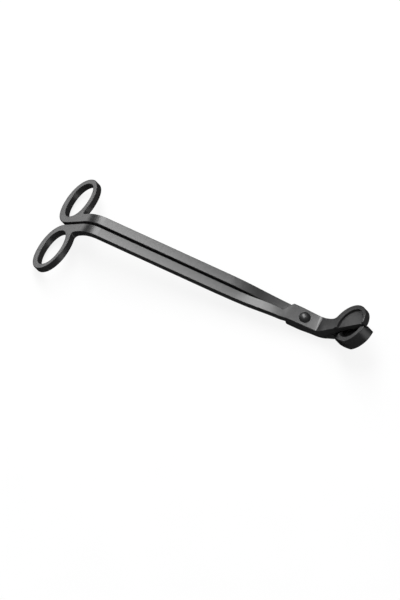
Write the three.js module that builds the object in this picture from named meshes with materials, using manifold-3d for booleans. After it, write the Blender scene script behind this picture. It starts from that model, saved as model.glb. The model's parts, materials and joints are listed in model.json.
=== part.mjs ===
// Candle wick trimmer: two riveted levers with finger loops bent down and a round cutting head bent up.
// Working frame, in millimetres: x along the shank towards the head, y across it, z up from its top face.
// At the end the whole tool is tipped to stand on z = 0, the way it rests on a table, and is centred.
import * as THREE from "three";
import { mergeVertices } from "three/addons/utils/BufferGeometryUtils.js";
import Module from "manifold-3d";

// Levers
const THICK = 3.75; // both levers, everywhere
const EDGE = 0.4; // rounding of the outside edges
const SHANK_IN = 0.65; // shank's inner edge, from the middle line
const SHANK_OUT = 6; // shank's outer edge
const PLATE_GAP = 0.45; // between the two pivot plates, where the friction washer lies
const STACK = THICK + PLATE_GAP; // from one lever's top to the other's at the pivot

// Finger loops, in their own plane: x = 0 where that plane meets the shank's
const LOOP_BEND = THREE.MathUtils.degToRad(44); // loops hang down by this
const LOOP_BEND_R = 16; // on the top face
const LOOP = { x: -20.9, y: 15.25, a: 11.1, b: 14.45, n: 2.1 }; // outer oval
const HOLE = { x: -20.55, y: 15.75, a: 7.73, b: 10.86, n: 2.1 }; // finger hole

// Pivot
const PIVOT_X = 122.5;
const PLATE_FROM = 114.7; // behind this the plate narrows to the shank
const SHOULDER = 4.2; // length of that narrowing
const RIVET_R = 1.7;
const HOLE_R = 1.8;
const HEAD_R = 3;
const HEAD_H = 1.25;

// Head
const HEAD_X = 131; // where the upper neck leaves the pivot plate
const HEAD_BEND = THREE.MathUtils.degToRad(46);
const HEAD_BEND_R = [1.8, 5.5]; // upper lever's top face, on its outer and inner edge
const LOWER_BEND_R = 7.2; // lower lever's top face
const UPPER_NECK = 3.4; // necks' half width on the jaw's side
const LOWER_NECK = 4;
const BLADE = { x: 20.7, r: 11.4 }; // outside of the upper jaw, in the head's plane
const BLADE_RECESS = { x: 22.4, r: 8.6, deep: 1.15 };
const BLADE_FLOOR = { r: 7.7, deep: 0.85 };
const CUP = { x: 21.3, r: 10.6, rim: -2, bottom: -9.15 }; // outside of the lower jaw
const HOLLOW = { x: 21.7, r: 7.7, floor: -6.7 }; // inside of the cup
const CUT_BACK = new THREE.Vector2(13, 2.65); // cutting edges pass each other by this much
const CUT_FRONT = new THREE.Vector2(31, 0.38);

const wasm = await Module();
wasm.setup();

// A three.js geometry as a manifold-3d solid, and back
function solid(geometry) {
  const plain = geometry.index ? geometry.toNonIndexed() : geometry;
  const bare = new THREE.BufferGeometry();
  bare.setAttribute("position", plain.getAttribute("position"));
  const merged = mergeVertices(bare, 1e-4);
  return new wasm.Manifold(new wasm.Mesh({
    numProp: 3,
    vertProperties: merged.attributes.position.array,
    triVerts: new Uint32Array(merged.index.array),
  }));
}

function geometryOf(body) {
  const m = body.getMesh();
  const g = new THREE.BufferGeometry();
  const xyz = new Float32Array(m.numVert * 3);
  for (let i = 0; i < m.numVert; i++) {
    xyz.set(m.vertProperties.subarray(i * m.numProp, i * m.numProp + 3), i * 3);
  }
  g.setAttribute("position", new THREE.BufferAttribute(xyz, 3));
  g.setIndex(new THREE.BufferAttribute(new Uint32Array(m.triVerts), 1));
  g.computeVertexNormals();
  return g;
}

// Mirrors a geometry across the middle plane and turns its faces right way out again
function mirrored(geometry) {
  const g = (geometry.index ? geometry.toNonIndexed() : geometry.clone()).scale(1, -1, 1);
  const p = g.getAttribute("position");
  for (let i = 0; i < p.count; i += 3) {
    const a = [p.getX(i + 1), p.getY(i + 1), p.getZ(i + 1)];
    p.setXYZ(i + 1, p.getX(i + 2), p.getY(i + 2), p.getZ(i + 2));
    p.setXYZ(i + 2, ...a);
  }
  return g;
}

// A flat outline as a plate with rounded edges, its top face at z = top
function plate(shape, top, thick, rounding = EDGE, segments = 20) {
  const g = new THREE.ExtrudeGeometry(shape, {
    depth: thick - 2 * rounding,
    bevelEnabled: rounding > 0,
    bevelThickness: rounding,
    bevelSize: rounding,
    bevelOffset: -rounding,
    bevelSegments: 2,
    curveSegments: segments,
  });
  return g.translate(0, 0, top - thick + rounding);
}

// A plate without rounding, for cutting
function cutter(shape, bottom, top, segments = 20) {
  const g = new THREE.ExtrudeGeometry(shape, {
    depth: top - bottom, bevelEnabled: false, curveSegments: segments,
  });
  return g.translate(0, 0, bottom);
}

// Puts a plane's own geometry where that plane is: turned up by an angle about y, then moved
function placed(geometry, angle, x, z) {
  const m = new THREE.Matrix4().makeRotationY(-angle).setPosition(x, 0, z);
  return geometry.applyMatrix4(m);
}

// Straight-line interpolation between [x, value] pairs
function taper(x, pairs) {
  if (x <= pairs[0][0]) return pairs[0][1];
  for (let i = 1; i < pairs.length; i++) {
    const [x1, y1] = pairs[i], [x0, y0] = pairs[i - 1];
    if (x <= x1) return y0 + (y1 - y0) * (x - x0) / (x1 - x0);
  }
  return pairs[pairs.length - 1][1];
}

// Point on an oval with slightly squared corners
function oval(o, angle, flip = 1) {
  const c = Math.cos(angle), s = Math.sin(angle), e = 2 / o.n;
  return new THREE.Vector2(
    o.x + o.a * Math.sign(c) * Math.abs(c) ** e,
    flip * (o.y + o.b * Math.sign(s) * Math.abs(s) ** e),
  );
}

// Finger loop with the root of its shank, in the loops' plane, on the +y side
function loopPlate() {
  const root = -LOOP_BEND_R * Math.tan(LOOP_BEND / 2) + 0.05;
  const outline = new THREE.Shape();
  outline.moveTo(root, SHANK_IN);
  outline.lineTo(LOOP.x + 1, SHANK_IN);
  const from = -0.52 * Math.PI, to = -2.13 * Math.PI, steps = 72;
  for (let i = 0; i <= steps; i++) {
    const p = oval(LOOP, from + (to - from) * i / steps);
    outline.lineTo(p.x, p.y);
  }
  // fillet between the loop and the shank's outer edge
  const end = oval(LOOP, to), before = oval(LOOP, to + 0.01);
  const slope = (end.x - before.x) / (end.y - before.y);
  const corner = new THREE.Vector2(end.x + slope * (SHANK_OUT - end.y), SHANK_OUT);
  outline.quadraticCurveTo(corner.x, corner.y, corner.x + corner.distanceTo(end), SHANK_OUT);
  outline.lineTo(root, SHANK_OUT);
  const hole = new THREE.Path();
  const n = 64;
  for (let i = 0; i < n; i++) {
    const p = oval(HOLE, 2 * Math.PI * i / n);
    if (i) hole.lineTo(p.x, p.y);
    else hole.moveTo(p.x, p.y);
  }
  hole.closePath();
  outline.holes.push(hole);
  return placed(plate(outline, 0, THICK, EDGE, 10), LOOP_BEND, 0, 0);
}

// Side view of a lever's top face, from the loop's plane to the head's, as points with a heading.
// Its two ends lie inside the loop and the jaw, sunk a little below their faces.
function topLine(rise, headX, headR, into) {
  const line = [];
  let x = 0, z = 0, a = LOOP_BEND;
  const add = () => line.push({ x, z, a });
  const go = (length) => { x += length * Math.cos(a); z += length * Math.sin(a); };
  const straightTo = (endX, steps = 1) => {
    const step = (endX - x) / Math.cos(a) / steps;
    for (let i = 0; i < steps; i++) { go(step); add(); }
  };
  // turns by an angle on an arc whose centre lies above the line for a positive angle
  const turn = (angle, r, steps) => {
    const x0 = x, z0 = z, a0 = a, s = Math.sign(angle);
    for (let i = 1; i <= steps; i++) {
      a = a0 + angle * i / steps;
      x = x0 + s * r * (Math.sin(a) - Math.sin(a0));
      z = z0 - s * r * (Math.cos(a) - Math.cos(a0));
      add();
    }
  };
  const rear = LOOP_BEND_R * Math.tan(LOOP_BEND / 2);
  go(-rear - 1.5);
  add();
  go(1.5);
  add();
  turn(-LOOP_BEND, LOOP_BEND_R, 12);
  // ramp that lifts or lowers the lever to its level at the pivot
  const [from, to] = rise > 0 ? [84, 110] : [78, 112];
  straightTo(from);
  const half = 2 * Math.atan(Math.abs(rise) / (to - from));
  const rampR = (to - from) / 2 / Math.sin(half);
  turn(Math.sign(rise) * half, rampR, 8);
  turn(-Math.sign(rise) * half, rampR, 8);
  const front = headR * Math.tan(HEAD_BEND / 2);
  straightTo(HEAD_X - 4, 5);
  straightTo(headX - front);
  turn(HEAD_BEND, headR, 10);
  go(into - 3 - front);
  add();
  go(3);
  add();
  line[0].sink = line[line.length - 1].sink = 0.05;
  return line;
}

// Shank, pivot plate and neck: one rounded rectangle carried along the top lines of its two edges
function arm(outerLine, innerLine, outer, inner) {
  const ring = (i) => {
    const corners = [];
    for (const [sy, sz, start] of [[1, 1, 0], [-1, 1, 1], [-1, -1, 2], [1, -1, 3]]) {
      const p = (sy > 0 ? outerLine : innerLine)[i];
      const sink = p.sink || 0, out = outer(p.x) - sink, inn = inner(p.x) + sink;
      for (let k = 0; k <= 2; k++) {
        const t = (start + k / 2) * Math.PI / 2;
        const y = (sy > 0 ? out - EDGE : inn + EDGE) + EDGE * Math.cos(t);
        const top = -EDGE - sink - (p.relief || 0);
        const n = (sz > 0 ? top : -THICK + EDGE + sink) + EDGE * Math.sin(t);
        corners.push([p.x - n * Math.sin(p.a), y, p.z + n * Math.cos(p.a)]);
      }
    }
    return corners;
  };
  const rings = outerLine.map((p, i) => ring(i)), n = rings[0].length, xyz = [], index = [];
  for (const r of rings) for (const c of r) xyz.push(...c);
  for (let i = 0; i + 1 < rings.length; i++) {
    for (let k = 0; k < n; k++) {
      const a = i * n + k, b = i * n + (k + 1) % n, c = a + n, d = b + n;
      index.push(a, b, d, a, d, c);
    }
  }
  const last = (rings.length - 1) * n;
  for (let k = 1; k + 1 < n; k++) {
    index.push(0, k + 1, k);
    index.push(last, last + k, last + k + 1);
  }
  const g = new THREE.BufferGeometry();
  g.setAttribute("position", new THREE.Float32BufferAttribute(xyz, 3));
  g.setIndex(index);
  return g;
}

// Smooth step from one value to another between two x
const ease = (x, x0, x1, y0, y1) => {
  const t = THREE.MathUtils.clamp((x - x0) / (x1 - x0), 0, 1);
  return y0 + (y1 - y0) * t * t * (3 - 2 * t);
};

// Outer edge of the shank, plate and neck; in front, the neck's side away from the jaw
const outerEdge = (upper) => (x) => taper(x, upper ? [
  [75, SHANK_OUT], [88, 5.8], [100, 5.7], [111, 5.35], [PLATE_FROM, 4.75],
  [HEAD_X, 4.6], [HEAD_X + 4.2, 4.4], [HEAD_X + 6.25, 3.8],
] : [
  [100, SHANK_OUT], [112, 5.75], [119, 4.4], [HEAD_X + 7.2, 4.2], [HEAD_X + 9.4, 3.75],
]);

// Inner edge of the shank, which steps across the middle line at the pivot plate's shoulder
const innerEdge = (upper) => (x) => {
  const side = upper ? -4.9 : -4, from = PLATE_FROM - SHOULDER;
  if (x < from) return taper(x, [[87, SHANK_IN], [from, 0.45]]);
  if (x < PLATE_FROM) return ease(x, from, PLATE_FROM, 0.45, side);
  const neck = upper ? UPPER_NECK : LOWER_NECK;
  if (upper) return taper(x, [[120, side], [HEAD_X, -4.4], [HEAD_X + 4, -neck]]);
  return taper(x, [[122, side], [HEAD_X - 2, -3.4], [HEAD_X + 4, -3.4], [HEAD_X + 7.2, -neck]]);
};

// Adds the stations that a shoulder needs to a top line
function withShoulder(line) {
  const out = [];
  for (let i = 0; i < line.length; i++) {
    out.push(line[i]);
    const p = line[i], q = line[i + 1];
    if (!q) break;
    const cuts = [];
    for (let k = 0; k <= 12; k++) cuts.push(PLATE_FROM - SHOULDER * k / 12);
    cuts.push(75, 88, 100, 111, 112, 119, 120, 122);
    for (const x of cuts.sort((a, b) => a - b)) {
      if (x > p.x + 0.02 && x < q.x - 0.02) {
        const t = (x - p.x) / (q.x - p.x);
        out.push({ x, z: p.z + (q.z - p.z) * t, a: p.a + (q.a - p.a) * t });
      }
    }
  }
  return out;
}

// Upper jaw, in the head's plane: rimmed half disc with a straight cutting edge, jaw towards -y
function bladePlate() {
  const neck = UPPER_NECK, fillet = 3, s = new THREE.Shape();
  const fy = -(neck + fillet), reach = BLADE.r + fillet;
  const fx = BLADE.x - Math.sqrt(reach * reach - fy * fy);
  const meet = Math.atan2(-fy, BLADE.x - fx);
  const tip = Math.asin(0.5 / BLADE.r);
  s.moveTo(6.5, 4.1);
  s.lineTo(CUT_BACK.x - 0.9, 3.45);
  s.lineTo(CUT_BACK.x, CUT_BACK.y);
  s.lineTo(CUT_FRONT.x, CUT_FRONT.y);
  s.lineTo(CUT_FRONT.x, 0.5);
  s.absarc(BLADE.x, 0, BLADE.r, tip, meet - Math.PI, true);
  s.absarc(fx, fy, fillet, meet, Math.PI / 2, false);
  s.lineTo(6.5, -neck);
  return plate(s, 0, THICK);
}

function disc(x, y, r) {
  const s = new THREE.Shape();
  s.absarc(x, y, r, 0, 2 * Math.PI, false);
  return s;
}

function upperJaw() {
  const body = solid(bladePlate());
  const groove = solid(cutter(disc(BLADE_RECESS.x, 0, BLADE_RECESS.r), -BLADE_RECESS.deep, 1, 28));
  const floor = solid(plate(disc(BLADE_RECESS.x, 0, BLADE_FLOOR.r), -BLADE_FLOOR.deep, 2, 0.2, 28));
  return body.subtract(groove.subtract(floor));
}

// Lower jaw, in the head's plane: deep cup whose low straight wall passes under the blade
function lowerJaw() {
  const s = new THREE.Shape();
  s.moveTo(6.5, 4.1);
  s.lineTo(CUT_BACK.x - 0.9, 3.45);
  s.lineTo(CUT_BACK.x, CUT_BACK.y);
  s.lineTo(CUT_FRONT.x, CUT_FRONT.y);
  s.absarc(CUP.x, 0, CUP.r, 0.03, THREE.MathUtils.degToRad(-83), true);
  s.quadraticCurveTo(20.4, -CUP.r + 0.1, 12.5, -7.4);
  s.lineTo(11.4, -6.2);
  s.quadraticCurveTo(9.8, -LOWER_NECK, 8.2, -LOWER_NECK);
  s.lineTo(6.5, -LOWER_NECK + 0.1);
  let body = solid(plate(s, CUP.rim, CUP.rim - CUP.bottom));

  // the blade's way: everything above the lower lever's own top face, on the far side of the rim
  const way = new THREE.Shape();
  way.moveTo(0, -5);
  way.lineTo(16.4, -5);
  way.lineTo(20, -1.3);
  way.lineTo(40, -1.3);
  way.lineTo(40, 20);
  way.lineTo(0, 20);
  body = body.subtract(solid(cutter(way, -STACK, 3)));

  // bevelled bottom edge at the front of the cup
  const low = CUP.bottom - 0.1, start = CUP.r - 0.6, outside = CUP.r + 2;
  const chamfer = new THREE.LatheGeometry([
    new THREE.Vector2(start, low), new THREE.Vector2(outside, low),
    new THREE.Vector2(outside, low + 2), new THREE.Vector2(start, low),
  ], 96).rotateX(Math.PI / 2).translate(CUP.x, 0, 0);
  const ahead = new THREE.BoxGeometry(30, 60, 30).toNonIndexed().translate(CUP.x + 6, 0, 0);
  body = body.subtract(solid(chamfer).intersect(solid(ahead)));

  // back end of the rim runs down to the neck
  const ramp = new THREE.BoxGeometry(30, 30, 10).translate(-15, 0, 5);
  const slope = Math.atan2(STACK + CUP.rim, 3);
  ramp.applyMatrix4(new THREE.Matrix4().makeRotationY(-slope).setPosition(15.3, 0, CUP.rim));
  body = body.subtract(solid(ramp.toNonIndexed()));

  // underside rises from the cup's bottom to the neck's
  const under = new THREE.BoxGeometry(30, 30, 10).translate(-15, 0, -5);
  const fall = Math.atan2(-CUP.bottom - STACK - THICK, 7);
  under.applyMatrix4(new THREE.Matrix4().makeRotationY(fall).setPosition(14, 0, CUP.bottom));
  body = body.subtract(solid(under.toNonIndexed()));

  // inside of the cup, up to the back of its straight wall
  const round = solid(cutter(disc(HOLLOW.x, 0, HOLLOW.r), HOLLOW.floor, 3, 28));
  const wall = new THREE.Shape();
  wall.moveTo(10, 1.15);
  wall.lineTo(33, -0.75);
  wall.lineTo(33, -20);
  wall.lineTo(10, -20);
  return body.subtract(round.intersect(solid(cutter(wall, HOLLOW.floor - 1, 4))));
}

// One whole lever: loop, shank, pivot plate, neck and jaw in a single forging
function lever(upper) {
  const rise = (upper ? 1 : -1) * STACK / 2;
  const headX = upper ? HEAD_X : HEAD_X + STACK * Math.tan(HEAD_BEND / 2);
  const [outLine, inLine] = (upper ? HEAD_BEND_R : [LOWER_BEND_R, LOWER_BEND_R])
    .map((r) => withShoulder(topLine(rise, headX, r, upper ? 9 : 11)));
  // the lower neck is thinned on top, so that the upper one swings over it freely
  if (!upper) for (const p of [...outLine, ...inLine]) p.relief = ease(p.x, HEAD_X, HEAD_X + 4, 0, 0.35);
  const shank = arm(outLine, inLine, outerEdge(upper), innerEdge(upper));
  const jaw = placed(geometryOf(upper ? upperJaw() : lowerJaw()), HEAD_BEND, HEAD_X, STACK / 2);
  const side = upper ? mirrored : (g) => g;
  const bore = new THREE.CylinderGeometry(HOLE_R, HOLE_R, 40, 48).rotateX(Math.PI / 2);
  return solid(side(loopPlate()))
    .add(solid(side(shank)))
    .add(solid(side(jaw)))
    .subtract(solid(bore.translate(PIVOT_X, 0, 0)));
}

// Turned parts on the pivot's axis
function turned(points) {
  const g = new THREE.LatheGeometry(points.map(([r, z]) => new THREE.Vector2(r, z)), 48);
  return g.rotateX(Math.PI / 2).translate(PIVOT_X, 0, 0);
}

function rivet() {
  const under = STACK / 2 + 0.06, dome = [], steps = 8;
  const r = (HEAD_R * HEAD_R + HEAD_H * HEAD_H) / (2 * HEAD_H);
  const half = Math.asin(HEAD_R / r);
  for (let i = 1; i < steps; i++) {
    const t = half * (1 - i / steps);
    dome.push([r * Math.sin(t), under + 0.25 + HEAD_H - r + r * Math.cos(t)]);
  }
  const tail = -STACK / 2 - THICK - 0.48;
  return turned([
    [0, tail - 0.45], [1.6, tail - 0.4], [2.2, tail - 0.2], [2.4, tail], [RIVET_R, tail],
    [RIVET_R, under], [HEAD_R - 0.1, under], [HEAD_R, under + 0.12], [HEAD_R, under + 0.25],
    ...dome, [0, under + 0.25 + HEAD_H],
  ]);
}

function ringWasher(outside, bottom, thick, chamfer) {
  const top = bottom + thick;
  return turned([
    [HOLE_R, bottom], [outside - chamfer, bottom], [outside, bottom + chamfer],
    [outside, top - chamfer], [outside - chamfer, top], [HOLE_R, top], [HOLE_R, bottom],
  ]);
}

const coat = () => new THREE.MeshStandardMaterial({ color: 0x1a1b1c, roughness: 0.45, metalness: 0.5 });
const nylon = () => new THREE.MeshStandardMaterial({ color: 0x2a2a2a, roughness: 0.6, metalness: 0 });

const group = new THREE.Group();
function piece(name, geometry, material) {
  const mesh = new THREE.Mesh(geometry, material);
  mesh.name = name;
  group.add(mesh);
}

piece("upper_lever", geometryOf(lever(true)), coat());
piece("lower_lever", geometryOf(lever(false)), coat());
piece("pivot_rivet", rivet(), coat());
piece("friction_washer", ringWasher(4.1, -THICK / 2 - 0.15, 0.3, 0.08), nylon());
piece("tail_washer", ringWasher(3.1, -STACK / 2 - THICK - 0.41, 0.35, 0.1), coat());

// Tips the tool nose down until its loops and its rivet's tail stand on the same level. That level is z = 0
// and the origin is midway between the tool's two ends.
function settle() {
  const lowest = (pitch, keep) => {
    let low = Infinity;
    for (const m of group.children) {
      const p = m.geometry.getAttribute("position");
      for (let i = 0; i < p.count; i++) {
        if (keep(p.getX(i))) low = Math.min(low, p.getZ(i) * Math.cos(pitch) - p.getX(i) * Math.sin(pitch));
      }
    }
    return low;
  };
  let lo = 0, hi = 0.4;
  for (let i = 0; i < 40; i++) {
    const mid = (lo + hi) / 2;
    if (lowest(mid, (x) => x < 50) < lowest(mid, (x) => x > 50)) lo = mid;
    else hi = mid;
  }
  const floor = lowest(lo, () => true);
  for (const m of group.children) m.geometry.rotateY(lo).translate(0, 0, -floor);
  const middle = new THREE.Box3().setFromObject(group).getCenter(new THREE.Vector3());
  for (const m of group.children) m.geometry.translate(-middle.x, 0, 0);
}
settle();

export default group;
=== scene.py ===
# Candle wick trimmer: satin black coat over brushed steel, on a plain pale floor.
import json
import math

import bpy
from mathutils import Matrix, Vector

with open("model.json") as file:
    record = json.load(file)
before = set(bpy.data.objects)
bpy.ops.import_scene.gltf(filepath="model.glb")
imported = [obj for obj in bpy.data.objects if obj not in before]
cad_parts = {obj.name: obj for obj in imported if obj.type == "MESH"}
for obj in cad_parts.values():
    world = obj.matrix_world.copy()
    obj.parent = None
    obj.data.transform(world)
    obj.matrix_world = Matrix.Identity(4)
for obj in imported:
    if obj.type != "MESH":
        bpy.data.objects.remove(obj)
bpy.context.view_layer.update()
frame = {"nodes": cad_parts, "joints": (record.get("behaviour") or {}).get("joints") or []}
scene = bpy.context.scene
scene.view_settings.view_transform = "Standard"

# The shank's frame: x along the shank from the loops' bend, z up from its top face. The tool stands nose
# down, so this frame is tipped as the pivot's axis is.
PIVOT_IN_SHANK = Vector((0.1225, 0.0, -0.001875))
pivot = frame["joints"][0]
tip = Vector((0.0, 0.0, 1.0)).rotation_difference(Vector(pivot["axis"])).to_matrix().to_4x4()
TO_WORLD = Matrix.Translation(pivot["pos_m"]) @ tip @ Matrix.Translation(-PIVOT_IN_SHANK)


# ---------------------------------------------------------------- materials

class Nodes:
    """A small helper that adds and links shader nodes."""

    def __init__(self, name):
        self.material = bpy.data.materials.new(name)
        self.material.use_nodes = True
        self.tree = self.material.node_tree
        self.tree.nodes.clear()

    def add(self, kind, inputs=None, **settings):
        node = self.tree.nodes.new(kind)
        for key, value in settings.items():
            setattr(node, key, value)
        for key, value in (inputs or {}).items():
            if isinstance(value, bpy.types.NodeSocket):
                self.tree.links.new(value, node.inputs[key])
            else:
                node.inputs[key].default_value = value
        return node

    def ramp(self, value, stops):
        node = self.add("ShaderNodeValToRGB", {"Fac": value})
        elements = node.color_ramp.elements
        while len(elements) > 1:
            elements.remove(elements[-1])
        elements[0].position, elements[0].color = stops[0][0], grey(stops[0][1])
        for position, level in stops[1:]:
            elements.new(position).color = grey(level)
        return node.outputs["Color"]

    def scaled(self, scale):
        where = self.add("ShaderNodeTexCoord").outputs["Object"]
        return self.add("ShaderNodeMapping", {"Vector": where, "Scale": scale}).outputs["Vector"]

    def noise(self, scale, detail=3.0, roughness=0.55):
        node = self.add("ShaderNodeTexNoise", {
            "Vector": self.scaled(scale), "Scale": 1.0, "Detail": detail, "Roughness": roughness,
        })
        return node.outputs["Fac"]

    def calc(self, operation, a, b):
        return self.add("ShaderNodeMath", {0: a, 1: b}, operation=operation).outputs[0]


def grey(level):
    return (level, level, level, 1.0) if isinstance(level, (int, float)) else level


def black_coat(name, base, roughness, grain, ior=1.5):
    """Thin satin coat that shows the brushed steel under it. Brush lines run across the tool, along y.

    base is its grey, grain the height of the brushing."""
    n = Nodes(name)
    lines = n.noise((2600.0, 70.0, 2600.0), 2.0)
    fine = n.noise((9000.0, 260.0, 9000.0), 1.0)
    speckle = n.noise((5200.0, 5200.0, 5200.0), 2.0)
    cloud = n.noise((55.0, 55.0, 55.0), 3.0)
    brushed = n.calc("ADD", n.calc("MULTIPLY", lines, 0.65), n.calc("MULTIPLY", fine, 0.35))
    level = n.calc("ADD", n.calc("MULTIPLY", brushed, 0.7), n.calc("MULTIPLY", cloud, 0.3))
    colour = n.ramp(level, [
        (0.32, (base * 0.72, base * 0.73, base * 0.76, 1.0)),
        (0.5, (base, base, base * 1.03, 1.0)),
        (0.68, (base * 1.45, base * 1.44, base * 1.43, 1.0)),
    ])
    rough = n.calc("ADD", n.calc("MULTIPLY", level, 0.16), roughness - 0.08)
    height = n.calc("ADD", n.calc("MULTIPLY", brushed, grain), n.calc("MULTIPLY", speckle, 0.35 * grain))
    bump = n.add("ShaderNodeBump", {"Height": height, "Strength": 0.55, "Distance": 0.00002})
    shader = n.add("ShaderNodeBsdfPrincipled", {
        "Base Color": colour, "Roughness": rough, "Normal": bump.outputs["Normal"], "IOR": ior,
    })
    n.add("ShaderNodeOutputMaterial", {"Surface": shader.outputs["BSDF"]})
    return n.material


def nylon(name):
    """Plain black nylon, slightly mottled."""
    n = Nodes(name)
    speckle = n.noise((3800.0, 3800.0, 3800.0), 3.0)
    cloud = n.noise((420.0, 420.0, 420.0), 2.0)
    level = n.calc("ADD", n.calc("MULTIPLY", speckle, 0.5), n.calc("MULTIPLY", cloud, 0.5))
    colour = n.ramp(level, [(0.35, 0.018), (0.65, 0.034)])
    rough = n.calc("ADD", n.calc("MULTIPLY", level, 0.15), 0.5)
    bump = n.add("ShaderNodeBump", {"Height": speckle, "Strength": 0.3, "Distance": 0.00002})
    shader = n.add("ShaderNodeBsdfPrincipled", {
        "Base Color": colour, "Roughness": rough, "Normal": bump.outputs["Normal"],
    })
    n.add("ShaderNodeOutputMaterial", {"Surface": shader.outputs["BSDF"]})
    return n.material


LEVER = black_coat("lever_coat", 0.011, 0.30, 1.0)
RIVET = black_coat("rivet_coat", 0.009, 0.34, 0.5)
WASHER = nylon("washer_nylon")

for node, material in {
    "upper_lever": LEVER, "lower_lever": LEVER, "pivot_rivet": RIVET,
    "tail_washer": RIVET, "friction_washer": WASHER,
}.items():
    mesh = frame["nodes"][node].data
    mesh.materials.clear()
    mesh.materials.append(material)


# ---------------------------------------------------------------- smooth shading of the rounded edges

SHARP = math.radians(50)  # edges that turn by more stay sharp
WELD = 1e-7  # corners closer than this are one


def shading_group():
    """Shades faces smooth across edges that turn by less than a limit."""
    group = bpy.data.node_groups.new("soft_edges", "GeometryNodeTree")
    group.interface.new_socket("Geometry", in_out="INPUT", socket_type="NodeSocketGeometry")
    group.interface.new_socket("Geometry", in_out="OUTPUT", socket_type="NodeSocketGeometry")
    nodes, links = group.nodes, group.links
    start, end = nodes.new("NodeGroupInput"), nodes.new("NodeGroupOutput")
    angle = nodes.new("GeometryNodeInputMeshEdgeAngle")
    compare = nodes.new("FunctionNodeCompare")
    compare.data_type, compare.operation = "FLOAT", "GREATER_THAN"
    compare.inputs[1].default_value = SHARP
    faces = nodes.new("GeometryNodeSetShadeSmooth")
    faces.domain = "FACE"
    faces.inputs["Shade Smooth"].default_value = True
    edges = nodes.new("GeometryNodeSetShadeSmooth")
    edges.domain = "EDGE"
    edges.inputs["Shade Smooth"].default_value = False
    free = nodes.new("GeometryNodeSetMeshNormal")
    free.mode = "SHARPNESS"
    free.inputs["Remove Custom"].default_value = True
    weld = nodes.new("GeometryNodeMergeByDistance")
    weld.inputs["Distance"].default_value = WELD
    links.new(angle.outputs["Unsigned Angle"], compare.inputs[0])
    links.new(start.outputs[0], weld.inputs["Geometry"])
    links.new(weld.outputs["Geometry"], free.inputs["Mesh"])
    links.new(free.outputs["Mesh"], faces.inputs["Geometry"])
    links.new(faces.outputs["Geometry"], edges.inputs["Geometry"])
    links.new(compare.outputs["Result"], edges.inputs["Selection"])
    links.new(edges.outputs["Geometry"], end.inputs[0])
    return group


SOFT = shading_group()
for o in frame["nodes"].values():
    o.modifiers.new("soft_edges", "NODES").node_group = SOFT
    weighted = o.modifiers.new("weighted", "WEIGHTED_NORMAL")
    weighted.mode = "FACE_AREA"
    weighted.weight = 50
    weighted.keep_sharp = True


# ---------------------------------------------------------------- floor

def paper(name):
    """Pale paper that glows evenly as well, so that only a faint shadow shows on it."""
    n = Nodes(name)
    mottle = n.noise((30.0, 30.0, 30.0), 3.0)
    shade = n.ramp(mottle, [(0.3, 0.076), (0.7, 0.08)])
    shader = n.add("ShaderNodeBsdfPrincipled", {
        "Base Color": shade, "Roughness": 0.9, "Specular IOR Level": 0.0,
        "Emission Color": (1.0, 1.0, 1.0, 1.0), "Emission Strength": 0.84,
    })
    n.add("ShaderNodeOutputMaterial", {"Surface": shader.outputs["BSDF"]})
    return n.material


FLOOR_HALF = 4.0


def flat_floor():
    mesh = bpy.data.meshes.new("floor")
    h = FLOOR_HALF
    mesh.from_pydata([(-h, -h, 0), (h, -h, 0), (h, h, 0), (-h, h, 0)], [], [(0, 1, 2, 3)])
    o = bpy.data.objects.new("floor", mesh)
    scene.collection.objects.link(o)
    mesh.materials.append(paper("floor_paper"))
    o.visible_glossy = False


flat_floor()


# ---------------------------------------------------------------- light

def softbox(name, direction, distance, size, radiance, aim):
    """A rectangular light facing a point of the row's frame, from a direction given in the shank's frame.

    Size is (width, height) in metres. Only its light shows, not the box itself."""
    towards = (TO_WORLD.to_3x3() @ Vector(direction)).normalized()
    data = bpy.data.lights.new(name, "AREA")
    data.shape, data.size, data.size_y = "RECTANGLE", size[0], size[1]
    data.energy = radiance * size[0] * size[1] * math.pi
    o = bpy.data.objects.new(name, data)
    o.location = aim + towards * distance
    o.rotation_mode = "QUATERNION"
    o.rotation_quaternion = towards.to_track_quat("Z", "Y")
    o.visible_camera = False
    scene.collection.objects.link(o)


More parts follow.
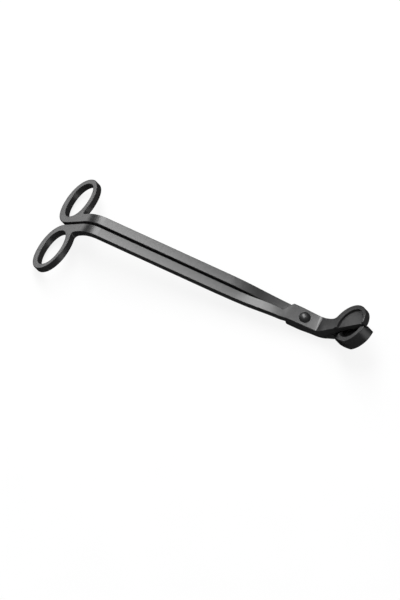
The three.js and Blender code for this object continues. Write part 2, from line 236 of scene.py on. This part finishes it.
MIDDLE = Vector((0.0, 0.0, 0.015))
LOOPS = Vector((-0.085, -0.03, 0.012))
HEAD = Vector((0.08, 0.0, 0.02))
PLATE_FRONT = TO_WORLD @ Vector((0.1335, -0.001, 0.002))
UPPER_JAW = TO_WORLD @ Vector((0.146, 0.002, 0.017))

# a strip over the flat tops, a low card behind the loops and a fill in front for the cup
softbox("key_above", (-0.40, 0.42, 0.81), 0.9, (0.36, 1.0), 10.5, MIDDLE)
softbox("card_behind", (-0.893, 0.43, -0.03), 0.3, (0.15, 0.14), 3.0, LOOPS)
softbox("fill_front", (0.93, -0.1, 0.25), 0.6, (0.3, 0.25), 1.7, HEAD)
# two small cards close by, which brighten the front of the pivot plate and the upper jaw's face
softbox("plate_card", (-0.17, 0.43, 0.887), 0.045, (0.011, 0.011), 6.5, PLATE_FRONT)
softbox("jaw_card", (-0.881, 0.43, -0.1), 0.03, (0.009, 0.009), 1.0, UPPER_JAW)

# even white all round, left out of reflections so that the coat stays black
world = bpy.data.worlds.new("studio")
scene.world = world
world.use_nodes = True
background = world.node_tree.nodes.get("Background") or world.node_tree.nodes.new("ShaderNodeBackground")
background.inputs["Color"].default_value = (1.0, 1.0, 1.0, 1.0)
background.inputs["Strength"].default_value = 1.2
world.cycles_visibility.glossy = False


# ---------------------------------------------------------------- camera

# seen from in front and to the near side, high up, with the tool running down to the right
AIM = Vector((0.07009, -0.01477, 0.0))  # in the shank's frame
DISTANCE = 1.98174
AZIMUTH, ELEVATION, ROLL = math.radians(21.605), math.radians(62.492), math.radians(5.246)

camera_data = bpy.data.cameras.new("camera")
camera_data.sensor_width = 36.0
camera_data.lens = 232.18
camera_data.clip_start, camera_data.clip_end = 0.1, 50.0
camera = bpy.data.objects.new("camera", camera_data)
scene.collection.objects.link(camera)
turn = Matrix.Rotation(AZIMUTH, 4, "Z") @ Matrix.Rotation(math.pi / 2 - ELEVATION, 4, "X")
turn = turn @ Matrix.Rotation(ROLL, 4, "Z")
camera.matrix_world = (
    TO_WORLD @ Matrix.Translation(AIM) @ turn @ Matrix.Translation((0.0, 0.0, DISTANCE))
)
scene.camera = camera
